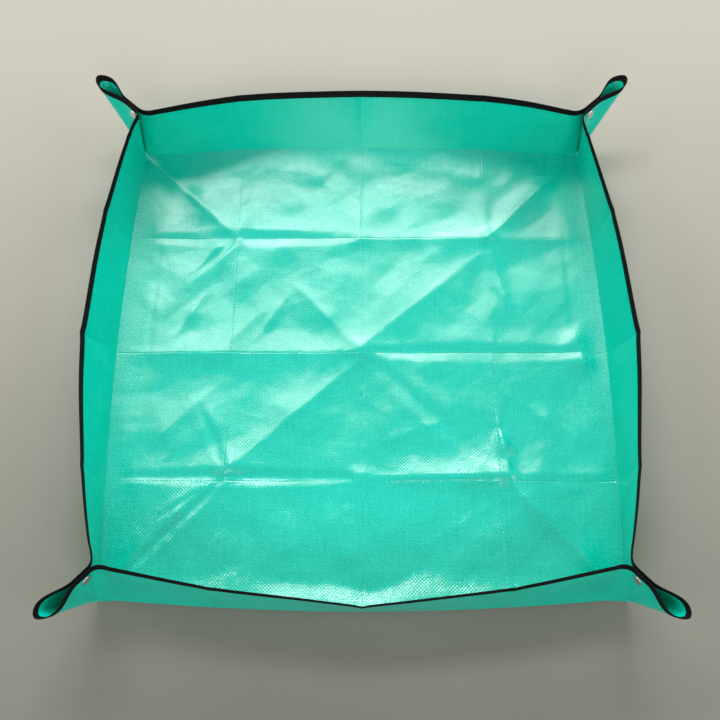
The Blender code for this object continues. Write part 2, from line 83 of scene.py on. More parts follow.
# ends of a wall: lean there, how straight the lean changes, corner, and the share of the corner's turn
# where its own panel starts
wallShape = {
    "front": {"along": (1, 0, 0), "out": (0, -1, 0), "bow": 0.0127, "mid": -0.5,
              "ends": {-1: (-22.5, 0.95, "fl", 0.6), 1: (-22.5, 0.95, "fr", 0.6)}},
    "back": {"along": (1, 0, 0), "out": (0, 1, 0), "bow": 0.0, "mid": 49.0,
             "ends": {-1: (0.0, 0.5, "bl", 0.5), 1: (0.0, 0.5, "br", 0.5)}},
    "left": {"along": (0, 1, 0), "out": (-1, 0, 0), "bow": 0.0074, "mid": 19.0,
             "ends": {-1: (-14.0, 0.62, "fl", 0.65), 1: (-4.0, -0.07, "bl", 0.5)}},
    "right": {"along": (0, 1, 0), "out": (1, 0, 0), "bow": 0.0074, "mid": 15.5,
              "ends": {-1: (-15.8, 0.45, "fr", 0.65), 1: (-9.0, 0.23, "br", 0.5)}},
}
cornerShape = {"fl": (-1, -1, "front", "left"), "fr": (1, -1, "front", "right"),
               "bl": (-1, 1, "left", "back"), "br": (1, 1, "right", "back")}   # the first wall carries the cap
halfBase = matShape["baseSide"] / 2
upward = np.array((0.0, 0.0, 1.0))


def smooth(value):
    # the cubic step 3 v squared less 2 v cubed, between 0 and 1
    value = np.clip(value, 0, 1)
    return value * value * (3 - 2 * value)


def unit(rows):
    # each row over its own length
    return rows / np.maximum(np.linalg.norm(rows, axis=-1, keepdims=True), 1e-9)


def column(values):
    # one more axis at the end, so that a value multiplies a point
    return np.asarray(values, float)[..., None]


def cornerPoints(corner):
    # base corner, pinch on the rim and tip of the ear: shares of the wall height, mirrored by the corner's signs
    signX, signY = cornerShape[corner][:2]
    sign = np.array((signX, signY, 1.0))
    base = np.array((signX * halfBase, signY * halfBase, matShape["sheetMiddle"]))
    pinch = base + np.array(matShape["pinch"][signY]) * matShape["wallHeight"] * sign
    tip = base + np.array(matShape["tip"][signY]) * matShape["wallHeight"] * sign
    return base, pinch, tip


def earSide(corner, wall):
    # normal of the ear's plane, through base corner, pinch and tip, on the side of the given wall
    base, pinch, tip = cornerPoints(corner)
    side = unit(np.cross(pinch - base, tip - base))
    towards = np.array(wallShape[wall]["out"]) * halfBase - base
    return side if side @ towards > 0 else -side


def creaseOffset(share):
    # distance from the ear's plane up the crease: a smooth step to the snap's, then a straight line to the rim's
    crease, snap, rim = matShape["creaseOffset"], matShape["snapOffset"], matShape["rimOffset"]
    low = crease + (snap - crease) * smooth(share / matShape["snapLand"])
    run = (share - matShape["rimLand"]) / (1 - matShape["rimLand"])
    return np.where(share < matShape["rimLand"], low, snap + (rim - snap) * run)


def creasePoint(corner, wall, share):
    # straight line from the base corner to the pinch, moved out by the crease's offset
    base, pinch, tip = cornerPoints(corner)
    offset = column(creaseOffset(np.asarray(share, float)))
    return base + (pinch - base) * column(share) + earSide(corner, wall) * offset


# Each wall's two ends: where the crease meets the floor, and where the rim starts to turn into the ear
for wallName, shape in wallShape.items():
    shape["along"] = np.array(shape["along"], float)
    shape["out"] = np.array(shape["out"], float)
for wallName, shape in wallShape.items():
    shape["end"] = {}
    for direction, (leanEnd, straight, corner, fanStart) in shape["ends"].items():
        foot = creasePoint(corner, wallName, 0.0)
        pinch = cornerPoints(corner)[1]
        shape["end"][direction] = {
            "lean": leanEnd, "straight": straight, "corner": corner, "fan": fanStart,
            "run": abs(foot @ shape["along"]), "out": foot @ shape["out"] - halfBase,
            "start": abs(pinch @ shape["along"]) - matShape["cornerRun"], "side": earSide(corner, wallName)}


def endValues(shape, run, key):
    # the value of the end that each place is nearer to
    return np.where(run < 0, shape["end"][-1][key], shape["end"][1][key])


def footOut(shape, run):
    # bow of a parabola along the edge, and the spread of the crease over the last stretch
    share = np.minimum(np.abs(run) / halfBase, 1)
    start = halfBase * matShape["footSpread"]
    spread = np.clip((np.abs(run) - start) / (endValues(shape, run, "run") - start), 0, 1)
    return shape["bow"] * (1 - share ** 2) + endValues(shape, run, "out") * spread


def footPoint(shape, run):
    # along the wall, out by half the base and the bow, up by the sheet's middle
    out = column(halfBase + footOut(shape, run))
    return shape["along"] * column(run) + shape["out"] * out + upward * matShape["sheetMiddle"]


def leanChange(share, straight):
    # a parabola and its chords between the storage folds, mixed
    fold = matShape["foldShare"]
    atFold = straight * fold + (1 - straight) * fold ** 2
    chords = np.where(share < fold, atFold * share / fold, atFold + (1 - atFold) * (share - fold) / (1 - fold))
    curve = straight * share + (1 - straight) * share ** 2
    return curve * (1 - matShape["foldStiff"]) + chords * matShape["foldStiff"]


def rimPoint(shape, run):
    # the wall's height above its foot, leaning by an angle that changes along the wall
    share = np.abs(run) / halfBase
    straight = endValues(shape, run, "straight")
    change = leanChange(share, straight)
    lean = np.radians(shape["mid"] + (endValues(shape, run, "lean") - shape["mid"]) * change)
    length = matShape["wallHeight"] - np.maximum(footOut(shape, run), 0)
    direction = shape["out"] * column(np.sin(lean)) + upward * column(np.cos(lean))
    return footPoint(shape, run) + direction * column(length)


def cornerRim(wall, direction, share):
    # cubic Bezier from the rim to the crease, ending along the ear
    shape = wallShape[wall]
    end = shape["end"][direction]
    base, pinch, tip = cornerPoints(end["corner"])
    start = rimPoint(shape, np.array([end["start"] * direction]))[0]
    before = rimPoint(shape, np.array([(end["start"] - matShape["tangentStep"]) * direction]))[0]
    last = creasePoint(end["corner"], wall, 1.0)
    reach = np.linalg.norm(last - start) * matShape["cornerPull"]
    first = start + unit(start - before) * reach
    second = last + unit(pinch - tip) * reach
    t = column(share)
    return start * (1 - t) ** 3 + 3 * first * (1 - t) ** 2 * t + 3 * second * (1 - t) * t ** 2 + last * t ** 3


# Relief of a wall: creases pressed in by storage folding, and a slow wave
wallRelief = {
    # place as a share of half the base, height and width in metres
    "creases": ((0.0, 0.0011, 0.012), (-0.545, 0.0007, 0.010), (0.545, 0.0007, 0.010),
                (-0.9, 0.0005, 0.008), (0.9, 0.0005, 0.008)),
    # height and phase of each wall's wave, and how fast its two sines turn along the wall and up it
    "waves": {"front": (0.0008, 0.4), "back": (0.0012, 2.1), "left": (0.0008, 3.3), "right": (0.0008, 5.2)},
    "turns": (31, 12.7, 1.8),
    "cornerCalm": 1.2, "footCalm": 3,      # how soon the relief comes in from the corners and from the foot
}


def wallSurface(wall, run, rise):
    # rise from -1 to 0 is the soft turn, a quadratic Bezier over the foot
    # rise from 0 to 1 is the straight line to the rim, which bends into the crease over the corner
    shape = wallShape[wall]
    run, rise = np.broadcast_arrays(np.asarray(run, float), np.asarray(rise, float))
    foot = footPoint(shape, run)
    rim = rimPoint(shape, run)
    turned = np.zeros(run.shape)
    side = np.where(column(run) < 0, shape["end"][-1]["side"], shape["end"][1]["side"])
    for direction in (-1, 1):
        end = shape["end"][direction]
        share = (run * direction - end["start"]) / (end["run"] - end["start"])
        corner = share > 0
        rim[corner] = cornerRim(wall, direction, share[corner])
        turned[corner] = share[corner]
    turnMid, turnCorner = matShape["footTurnMid"], matShape["footTurnCorner"]
    turn = turnMid + (turnCorner - turnMid) * np.minimum(np.abs(run) / halfBase, 1) ** 2
    line = rim - foot
    length = np.linalg.norm(line, axis=-1)
    low = turn / length
    share = np.where(rise > 0, low + (1 - low) * rise, low)
    straight = matShape["creaseOffset"] + (matShape["rimOffset"] - matShape["creaseOffset"]) * share
    spread = (creaseOffset(share) - straight) * turned ** 3
    upper = foot + line * column(share) + side * column(spread)
    t = column(np.clip(rise + 1, 0, 1))
    first = foot - shape["out"] * column(turn)
    fold = first * (1 - t) ** 2 + 2 * foot * t * (1 - t) + (foot + unit(line) * column(turn)) * t ** 2
    points = np.where(column(rise) > 0, upper, fold)
    # relief: creases that die off to both sides and the product of two sines, nothing at the foot and at the corners
    calm = smooth((1 - turned) * wallRelief["cornerCalm"]) * smooth(rise * wallRelief["footCalm"])
    relief = np.zeros(run.shape)
    for place, height, width in wallRelief["creases"]:
        relief += height * np.exp(-np.abs(run - place * halfBase) / (width * 0.5))
    size, phase = wallRelief["waves"][wall]
    fast, slow, up = wallRelief["turns"]
    relief += size * np.sin(run * fast + phase) * np.sin(run * slow + phase * 2 + rise * up)
    normal = unit(np.cross(np.broadcast_to(shape["along"], points.shape), line))
    normal *= np.sign(np.sum(normal * shape["out"], axis=-1, keepdims=True))
    return points + normal * column(relief * calm)


def earSurface(corner, wall, across, share):
    # half a drop: flat round the snap, then a belly, w squared times (1 - w), that closes again at the fold
    base, pinch, tip = cornerPoints(corner)
    across, share = np.broadcast_arrays(np.asarray(across, float), np.asarray(share, float))
    width = np.linalg.norm(tip - pinch)
    start = matShape["earBellyStart"]
    swell = np.maximum(across - start, 0) / (1 - start)
    run = (share - matShape["snapLand"]) / (matShape["rimLand"] - matShape["snapLand"])
    fold = matShape["foldOffset"] + (matShape["rimOffset"] - matShape["foldOffset"]) * smooth(run)
    offset = fold + (creaseOffset(share) - fold) * (1 - across ** 4)
    full = 27 / 4                       # brings the belly's greatest height to about 1
    offset = offset + matShape["earBelly"] * share * full * swell ** 2 * (1 - swell) ** matShape["earBellyClose"]
    turn = (across - (1 - matShape["earFoldRound"])) / matShape["earFoldRound"]
    offset = offset * np.sqrt(1 - turn.clip(0, 1) ** 2)      # a quarter of a circle rounds the fold
    return (base + (pinch - base) * column(share) + unit(tip - pinch) * column(width * share * across)
            + earSide(corner, wall) * column(offset))


print("stage: shapes ready")


sharpAngle = math.radians(50)           # edges that turn more than this stay sharp


def makeMesh(name, points, faces, uv, material, caps=()):
    # whole arrays put in by foreach_set, quads first and then the triangles of end caps
    caps = np.asarray(caps, int).reshape(-1, 3)
    loops = np.concatenate((faces.ravel(), caps.ravel())).astype(np.int32)
    starts = np.concatenate((np.arange(len(faces)) * 4, faces.size + np.arange(len(caps)) * 3)).astype(np.int32)
    mesh = bpy.data.meshes.new(name)
    mesh.vertices.add(len(points))
    mesh.vertices.foreach_set("co", np.ascontiguousarray(points, np.float32).ravel())
    mesh.loops.add(len(loops))
    mesh.polygons.add(len(starts))
    mesh.loops.foreach_set("vertex_index", loops)
    mesh.polygons.foreach_set("loop_start", starts)
    mesh.polygons.foreach_set("use_smooth", np.ones(len(starts), bool))
    mesh.update(calc_edges=True)
    layer = mesh.uv_layers.new(name="cloth")
    layer.data.foreach_set("uv", uv[loops].astype(np.float32).ravel())
    mesh.validate()
    mesh.set_sharp_from_angle(angle=sharpAngle)
    mesh.materials.append(material)
    piece = bpy.data.objects.new(name, mesh)
    bpy.context.scene.collection.objects.link(piece)
    return piece


def gridFaces(rows, columns, closed=False):
    # quads of a grid whose last column joins the first when it is closed
    i, j = np.meshgrid(np.arange(rows - 1), np.arange(columns if closed else columns - 1), indexing="ij")
    k = (j + 1) % columns
    here, below = i * columns, (i + 1) * columns
    return np.stack((here + j, below + j, below + k, here + k), -1).reshape(-1, 4)


def gridNormals(points):
    # across both directions of the grid
    alongRows = np.gradient(points, axis=0)
    alongColumns = np.gradient(points, axis=1)
    return unit(np.cross(alongRows, alongColumns))


def makeSheet(name, points, uv, material):
    # closed shell: the grid moved half the thickness each way along its normals, joined round its border
    rows, columns = points.shape[:2]
    normal = gridNormals(points) * matShape["sheetThick"] / 2
    upper, lower = (points + normal).reshape(-1, 3), (points - normal).reshape(-1, 3)
    count = rows * columns
    faces = gridFaces(rows, columns)
    index = np.arange(count).reshape(rows, columns)
    border = np.concatenate((index[0], index[1:, -1], index[-1, -2::-1], index[-2::-1, 0]))
    rim = np.stack((border[:-1], border[1:], border[1:] + count, border[:-1] + count), -1)
    flat = uv.reshape(-1, 2)
    return makeMesh(name, np.concatenate((upper, lower)), np.concatenate((faces, faces[:, ::-1] + count, rim)),
                    np.concatenate((flat, flat)), material)


# Binding tape: a folded band carried along an edge; its section is a U round the sheet
tapeShape = {
    "width": 0.0068,             # how far it reaches from the edge onto each face
    "tape": 0.00030,             # its thickness
    "inside": 0.00032,           # half the room for the sheet
    "crown": 0.0007,             # how far the fold stands out past the edge
    "flat": 0.0165,              # width before it is folded
    "turnSteps": 9,
}


def tapeSection():
    # outer skin from one border over the crown to the other, then the inner skin back
    width, inside, tape = tapeShape["width"], tapeShape["inside"], tapeShape["tape"]
    outer = inside + tape
    angle = np.linspace(math.pi / 2, -math.pi / 2, tapeShape["turnSteps"])
    flat = np.array((1.0, 0.97, 0.93, 0.8, 0.55, 0.3, 0.12)) * width       # the hem swells a little behind its border
    hem = np.array((0.75, 1.0, 1.12, 1.1, 1.03, 1.0, 1.0)) * outer
    top = np.stack((flat, hem), -1)
    crown = np.stack((-np.cos(angle) * tapeShape["crown"], np.sin(angle) * outer), -1)
    skin = np.concatenate((top, crown, top[::-1] * (1, -1)))
    inner = np.array(((0.98, -0.7), (0.5, -1.0), (0.02, -0.8), (0.02, 0.8), (0.5, 1.0), (0.98, 0.7))) * (width, inside)
    return np.concatenate((skin, inner)), len(skin)


def makeTape(name, edge, border, lengths, material):
    # the section carried along the edge, standing on the sheet's normal at the edge and at the tape's own border
    section, outerCount = tapeSection()
    inward = unit(border - edge)
    tangent = unit(np.gradient(edge, axis=0))
    normal = unit(np.cross(tangent, inward))
    tangentLow = unit(np.gradient(border, axis=0))
    normalLow = unit(np.cross(tangentLow, inward))
    blend = np.clip(section[:, 0] / tapeShape["width"], 0, 1)[None, :, None]
    turned = unit(normal[:, None] * (1 - blend) + normalLow[:, None] * blend)
    points = edge[:, None] + inward[:, None] * section[None, :, :1] + turned * section[None, :, 1:]
    rows, columns = points.shape[:2]
    step = np.linalg.norm(np.diff(section, axis=0), axis=1)
    place = np.concatenate(((0,), np.cumsum(step)))
    place = place - place[outerCount // 2]
    uv = np.stack(np.broadcast_arrays(lengths[:, None], place[None]), -1).reshape(-1, 2)
    faces = gridFaces(rows, columns, closed=True)[:, ::-1]
    # a fan of triangles closes each end
    ring, count = np.arange(columns), rows * columns
    after = (ring + 1) % columns
    last = count - columns
    caps = np.concatenate((np.stack((after, ring, np.full(columns, count)), -1),
                           np.stack((ring + last, after + last, np.full(columns, count + 1)), -1)))
    points = np.concatenate((points.reshape(-1, 3), [points[0].mean(0), points[-1].mean(0)]))
    return makeMesh(name, points, faces, np.concatenate((uv, uv[:1], uv[-1:])), material, caps)


# Shader maths: an operator on values adds its Math node, and soft is a smooth step between two values
class Value:
    def __init__(self, tree, socket):
        self.tree, self.socket = tree, socket

    def math(self, operation, *others):
        return self.tree.node("ShaderNodeMath", {"operation": operation}, (self, *others))

    def __add__(self, other): return self.math("ADD", other)
    def __radd__(self, other): return self.math("ADD", other)
    def __sub__(self, other): return self.math("SUBTRACT", other)
    def __rsub__(self, other): return self.tree.node("ShaderNodeMath", {"operation": "SUBTRACT"}, (other, self))
    def __mul__(self, other): return self.math("MULTIPLY", other)
    def __rmul__(self, other): return self.math("MULTIPLY", other)
    def __neg__(self): return self.math("MULTIPLY", -1)
    def cos(self): return self.math("COSINE")
    def abs(self): return self.math("ABSOLUTE")

    def soft(self, low, high):
        return self.tree.node("ShaderNodeMapRange", {"interpolation_type": "SMOOTHSTEP"},
                              {"Value": self, "From Min": low, "From Max": high})


# A material: settings first, then the values or links of the sockets
class Finish:
    def __init__(self, name):
        self.material = bpy.data.materials.new(name)
        self.material.use_nodes = True
        self.nodes = self.material.node_tree.nodes
        self.shader = self.nodes["Principled BSDF"]

    def plug(self, socket, value):
        if isinstance(value, Value):
            self.material.node_tree.links.new(value.socket, socket)
        elif value is not None:
            socket.default_value = value

    def node(self, kind, settings=None, values=(), output=0):
        made = self.nodes.new(kind)
        for key, value in (settings or {}).items():
            setattr(made, key, value)
        pairs = values.items() if isinstance(values, dict) else enumerate(values)
        for key, value in pairs:
            self.plug(made.inputs[key], value)
        return Value(self, made.outputs[output])

    def mix(self, factor, first, second):
        made = self.nodes.new("ShaderNodeMix")
        made.data_type = "RGBA"
        for place, value in ((0, factor), (6, first), (7, second)):
            self.plug(made.inputs[place], value)
        return Value(self, made.outputs[2])

    def axes(self, source):
        made = self.nodes.new("ShaderNodeSeparateXYZ")
        self.plug(made.inputs[0], source)
        return [Value(self, made.outputs[place]) for place in range(3)]

    def noise(self, place, scale, detail=2.0, rough=0.5):
        return self.node("ShaderNodeTexNoise", {},
                         {"Vector": place, "Scale": scale, "Detail": detail, "Roughness": rough})

    def joined(self, *axes):
        return self.node("ShaderNodeCombineXYZ", {}, axes)

    def bump(self, height, distance, strength=1.0, before=None):
        values = {"Height": height, "Distance": distance, "Strength": strength}
        if before is not None:
            values["Normal"] = before
        return self.node("ShaderNodeBump", {}, values)

    def set(self, **sockets):
        for name, value in sockets.items():
            self.plug(self.shader.inputs[name.replace("_", " ")], value)
        return self.material


# Laminated sheet: woven ribbons under a clear film, pressed by the storage folds
sheetLook = {
    # one sheet in two copies: the walls' greens are painted lighter and the floor's darker, painted light and shade
    # that evens out how the lamps light them
    "wall": {"green": (0.0, 0.56, 0.41, 1), "deep": (0.0, 0.45, 0.32, 1), "pale": (0.02, 0.68, 0.51, 1),
             "dashesAndSparkle": 0.15, "shine": 0.18, "streaks": 0.15, "lines": 300},
    "floor": {"green": (0.0, 0.50, 0.385, 1), "deep": (0.0, 0.38, 0.285, 1), "pale": (0.02, 0.60, 0.48, 1),
              "dashesAndSparkle": 0.8, "shine": 0.8, "streaks": 0.28, "lines": 560},
    # noises as scale, detail and roughness
    "clouds": (9.0, 3.0, 0.55), "patches": (38.0, 2.0, 0.6), "grains": (430.0, 2.0, 0.75),
    "lineNoise": (1.0, 1.5, 0.6), "lineRun": 26,             # streaks change this fast along their own direction
    "dashNoise": (1.0, 2.0, 0.7), "dashSize": (330, 640),
    "roughness": 0.14, "roughPatch": 0.14, "roughStreak": 0.12, "roughDash": 0.25,
    # lengths in metres: weave and the heights of its bumps, then the pressed folds
    "ribbon": 0.0018, "weave": 0.00008, "grain": 0.00018, "streak": 0.00004, "patch": 0.0016,
    "foldPress": 0.0007, "foldWidth": 0.0013, "foldDots": 0.0046,
    # the floor is scuffed between these distances from its side folds, and more behind than in front
    "edge": (0.034, 0.014), "scuffFrom": -0.14, "scuffTo": 0.05, "scuff": (0.24, 0.02),
}


def makeSheetFinish(part):
    # colour and roughness from streaks and dashes of noise, the dashes partly the weave's own and partly painted
    # sparkle; bumps in turn: patches, folds, streaks, weave, grain
    look, own = sheetLook, sheetLook[part]
    made = Finish("laminated green sheet, " + part)
    cloth = made.node("ShaderNodeUVMap", {"uv_map": "cloth"})
    u, v, _ = made.axes(cloth)
    across, along = u * (math.pi / look["ribbon"]), v * (math.pi / look["ribbon"])
    weave = across.cos() * along.cos()                              # over and under, ribbon by ribbon
    slow = made.noise(cloth, *look["clouds"])
    patch = made.noise(cloth, *look["patches"])
    grain = made.noise(cloth, *look["grains"])
    # ribbons differ from one to the next: noise drawn out along each direction
    weft = made.noise(made.joined(u * look["lineRun"], v * own["lines"], 0.0), *look["lineNoise"])
    warp = made.noise(made.joined(u * own["lines"], v * look["lineRun"], 7.0), *look["lineNoise"])
    ribbons = weft + warp - 1
    dash = made.noise(made.joined(u * look["dashSize"][0], v * look["dashSize"][1], 3.0), *look["dashNoise"]) - 0.5
    # storage folds: thin dotted lines at the middle and at the quarter lines, both ways
    press = 0.0
    for line, other in ((u, v), (v, u)):
        dots = (other * (2 * math.pi / look["foldDots"])).cos() * 0.3 + 0.7
        for share in (-matShape["foldShare"], 0.0, matShape["foldShare"]):
            press = (1 - (line - share * halfBase).abs().soft(0.0, look["foldWidth"])) * dots + press
    colour = made.mix(slow.soft(0.35, 0.68) * 0.3, own["green"], own["deep"])
    colour = made.mix(patch.soft(0.5, 0.75) * 0.16, colour, own["pale"])
    colour = made.mix(ribbons.soft(-0.05, 0.3) * own["streaks"], colour, own["pale"])
    colour = made.mix(ribbons.soft(0.05, -0.3) * own["streaks"], colour, own["deep"])
    # dashes: the weave's own dashes, and painted sparkle of the sheen, strongest on the floor
    colour = made.mix(dash.soft(0.0, 0.25) * own["dashesAndSparkle"], colour, own["pale"])
    colour = made.mix(dash.soft(0.0, -0.25) * own["dashesAndSparkle"], colour, own["deep"])
    press = press * slow.soft(0.3, 0.62)
    # painted shade: the pressed fold lines are painted darker, as shade in their grooves
    colour = made.mix(press * 0.2, colour, own["deep"])
    normal = made.bump(patch, look["patch"], 0.5)
    normal = made.bump(-press, look["foldPress"], 0.6, normal)
    normal = made.bump(ribbons, look["streak"], 1.0, normal)
    normal = made.bump(weave, look["weave"], 1.0, normal)
    normal = made.bump(grain, look["grain"], 1.0, normal)
    rough = look["roughness"] + (patch - 0.5) * look["roughPatch"] + ribbons * look["roughStreak"]
    rough = rough + dash * (look["roughDash"] * own["dashesAndSparkle"])
    if part == "floor":
        far, near = look["edge"]
        scuff = v.soft(look["scuffFrom"], look["scuffTo"]) * look["scuff"][0] + look["scuff"][1]
        rough = rough + u.abs().soft(halfBase - far, halfBase - near) * (dash.soft(-0.2, 0.2) * scuff)
    made.set(Base_Color=colour, Roughness=rough, Normal=normal, Specular_IOR_Level=own["shine"], IOR=1.5)
    return made.material


# Binding: ribbed black tape with a line of stitches near its border
bindingLook = {
    "black": (0.002, 0.002, 0.0025, 1), "worn": (0.006, 0.006, 0.0066, 1), "thread": (0.013, 0.013, 0.014, 1),
    "fuzz": (420.0, 2.0), "roughness": 0.62, "roughFuzz": 0.2, "shine": 0.12,
    # lengths in metres: pitch of ribs and stitches, place and width of the seam, heights of the bumps
    "rib": 0.0009, "stitch": 0.0034, "stitchLine": 0.0060, "seam": (0.00015, 0.00038),
    "ribHeight": 0.00009, "threadHeight": 0.00022,
}


def makeBindingFinish():
    # ribs are the product of two cosines, stitches the part of a cosine above a limit, on a line along the border
    look = bindingLook
    made = Finish("black binding tape")
    cloth = made.node("ShaderNodeUVMap", {"uv_map": "cloth"})
    u, v, _ = made.axes(cloth)
    along = u * (2 * math.pi / look["rib"])
    ribs = along.cos() * (v * (2 * math.pi / (look["rib"] * 0.7)) + along).cos()
    onLine = 1 - (v.abs() - look["stitchLine"]).abs().soft(*look["seam"])
    dash = (u * (2 * math.pi / look["stitch"])).cos().soft(-0.45, 0.05)
    thread = onLine * dash
    fuzz = made.noise(cloth, *look["fuzz"])
    colour = made.mix(fuzz.soft(0.4, 0.75) * 0.6, look["black"], look["worn"])
    colour = made.mix(thread, colour, look["thread"])
    normal = made.bump(ribs, look["ribHeight"], 0.8)
    normal = made.bump(thread - onLine * (1 - dash) * 0.5, look["threadHeight"], 1.0, normal)
    rough = look["roughness"] + fuzz * look["roughFuzz"]
    made.set(Base_Color=colour, Roughness=rough, Normal=normal, Specular_IOR_Level=look["shine"])
    return made.material


# Snaps: nickel plate with fine marks and dull patches
nickelLook = {"bright": (0.72, 0.71, 0.69, 1), "dull": (0.55, 0.54, 0.51, 1), "marks": 900.0, "patches": 160.0,
              "markHeight": 0.00003, "roughness": 0.2, "roughDull": 0.16}


def makeSnapFinish():
    # one noise dulls colour and gloss, a finer one is the bump
    look = nickelLook
    made = Finish("nickel snap")
    place = made.node("ShaderNodeTexCoord", {}, (), 3)
    marks, dull = made.noise(place, look["marks"]), made.noise(place, look["patches"])
    colour = made.mix(dull.soft(0.45, 0.7) * 0.5, look["bright"], look["dull"])
    made.set(Base_Color=colour, Roughness=look["roughness"] + dull * look["roughDull"], Metallic=1.0,
             Normal=made.bump(marks, look["markHeight"], 0.5))
    return made.material


# walls and ears get the copy painted lighter, the floor the copy painted darker: painted light and shade on one sheet
floorSheetPaintedDarker, wallSheetPaintedLighter = makeSheetFinish("floor"), makeSheetFinish("wall")
blackTape, nickel = makeBindingFinish(), makeSnapFinish()
print("stage: finishes ready")


# Floor: storage folds as strokes from one place to another, in shares of half the base, heights and widths in metres
floorLook = {
    "cells": 214,
    "past": 0.0009,              # near the corners the border reaches this far past the foot
    "borderDrop": 0.00007,       # the whole border lies this much lower
    "flatBorder": 0.004,         # the relief starts this far from the border
    "calm": 0.034,               # and has its full height this much further in
    "cornerTab": 0.0022,         # each corner point is drawn out, under the ear
    "openKeep": 0.3,             # share of the relief that stays when the mat is laid open
    "lift": 0.0014,              # the sheet's mean height over the ground
    # how far the floor climbs each wall past its soft turn, as a share of the wall, and over which width
    "climb": {"front": (0.075, 0.033), "back": (0.07, 0.056), "left": (0.01, 0.036), "right": (0.01, 0.036)},
    "climbEnd": (0.92, 0.5),     # the climb fades out before this share of half the base, over this share
    "tuck": (0.93, 0.05),        # from here on the border tucks under the wall, over this share
    "leave": (0.9, 0.08),        # and here it leaves the wall's surface for the foot's line
    # the width of the climb varies along the wall: share, turns, and a shift for each wall
    "climbWaves": ((0.22, 7.3, 1), (0.12, 17.1, 2)), "climbRipple": (0.03, 61, 3, 23),
}
ridge, valley = 1, -1
floorStrokes = (
    # from x, y, to x, y, height, width, kind
    (-0.95, 0.549, -0.007, 0.549, 0.0022, 0.020, valley), (-0.007, 0.549, 0.95, 0.549, 0.0026, 0.018, ridge),
    (-0.95, 0.0, -0.003, 0.005, 0.0028, 0.020, ridge), (-0.003, 0.005, 1.0, 0.0, 0.0018, 0.020, valley),
    (-0.95, -0.53, -0.007, -0.533, 0.0028, 0.019, valley), (-0.007, -0.53, 0.95, -0.52, 0.0036, 0.018, ridge),
    (0.0, 0.95, 0.0, -0.95, 0.0006, 0.006, valley), (-0.545, 0.95, -0.545, -0.95, 0.0006, 0.010, ridge),
    (0.555, 0.95, 0.555, -0.95, 0.0006, 0.010, ridge), (-0.9, 0.6, -0.9, -0.5, 0.0007, 0.012, valley),
    (0.9, 0.6, 0.9, -0.6, 0.0007, 0.012, valley),
    (-0.93, 0.93, -0.552, 0.549, 0.0034, 0.013, ridge), (0.93, 0.93, 0.56, 0.549, 0.0034, 0.013, ridge),
    (0.5, 0.45, 0.014, 0.042, 0.0030, 0.026, ridge), (-0.028, -0.049, -0.535, -0.5, 0.0030, 0.022, ridge),
    (-0.003, 0.005, 0.553, -0.517, 0.0014, 0.024, valley), (-0.535, -0.525, -0.93, -0.93, 0.0028, 0.013, valley),
    (0.553, -0.517, 0.93, -0.93, 0.0042, 0.014, ridge), (-0.25, 0.28, -0.003, 0.005, 0.0022, 0.014, ridge),
    (-0.552, 0.549, -0.70, 0.40, 0.0016, 0.012, valley), (0.56, 0.549, 0.62, 0.25, 0.0018, 0.010, ridge),
    (0.585, -0.5, 0.56, -0.33, 0.0040, 0.007, ridge), (-0.552, 0.549, -0.50, 0.75, 0.0012, 0.014, ridge),
    (-0.535, -0.525, -0.66, -0.25, 0.0014, 0.016, valley), (-0.34, -0.44, -0.10, -0.26, 0.0007, 0.012, ridge),
    (0.06, -0.40, 0.30, -0.31, 0.0011, 0.010, ridge), (-0.86, -0.40, -0.66, -0.20, 0.0012, 0.012, ridge),
    (0.28, -0.78, 0.52, -0.64, 0.0012, 0.011, ridge), (-0.30, -0.82, -0.05, -0.66, 0.0007, 0.014, ridge),
    (0.62, -0.20, 0.86, -0.36, 0.0012, 0.011, ridge), (-0.42, 0.10, -0.34, 0.24, 0.0012, 0.008, ridge),
    (0.60, -0.62, 0.86, -0.58, 0.0010, 0.010, ridge), (-0.80, -0.70, -0.62, -0.58, 0.0010, 0.010, valley),
    (-0.78, 0.10, -0.70, 0.24, 0.0014, 0.009, ridge),
)
strokeShape = {
    "runOut": 0.02, "waver": 0.22,       # a stroke runs out this far past its ends, and wavers by this share
    "lensEnd": 0.45, "lensPower": 0.8,   # width and height at the ends, as a share of those at half length
    "ridge": (1.35, 2.4, 2.2),           # height, reach in widths, power
    "valley": (0.9, 0.6, 1.5),           # height, place of the crest and dying off, in widths
}
floorPeaks = ((-0.552, 0.549), (0.56, 0.549), (-0.535, -0.525), (0.553, -0.517),
              (-0.003, 0.005), (-0.007, 0.545), (-0.007, -0.53))        # where folds cross
peakShape = (0.0016, 0.009)                                             # height, and distance over which it dies off
floorCurls = (
    # soft round humps: x, y, height, width
    (0.94, -0.04, 0.0050, 0.015), (0.90, 0.06, 0.0034, 0.012), (-0.12, 0.35, 0.0014, 0.03), (-0.5, 0.33, 0.0014, 0.02),
    (0.62, 0.22, 0.0012, 0.025), (-0.55, -0.85, 0.0016, 0.03), (0.5, -0.85, 0.0018, 0.03), (0.0, -0.86, 0.0018, 0.02),
)
floorWaves = (
    # turns along x and y, bend by y and its size, phase; turns along y and x, bend by x and its size, phase; height
    (41, 0, 23, 1.6, 0.7, 34, 0, 19, 1.9, 2.1, 0.0004),
    (88, 31, 57, 1.2, 0, 71, -22, 0, 0, 1.3, 0.00018),
    (150, 0, 93, 1.5, 0, 131, 0, 77, 1.7, 0, 0.00010),
    (289, 60, 171, 1.4, 0, 263, -41, 187, 1.2, 0, 0.00005),
)
floorFacets = (
    # turns along x and y, phase, height
    (62, 25, 0.4, 0.0006), (-28, 71, 1.9, 0.0006), (52, -49, 3.1, 0.0006), (104, 66, 4.4, 0.00034),
    (-95, 88, 5.3, 0.00034), (34, 148, 0.9, 0.0002), (171, -30, 2.6, 0.0002),
)


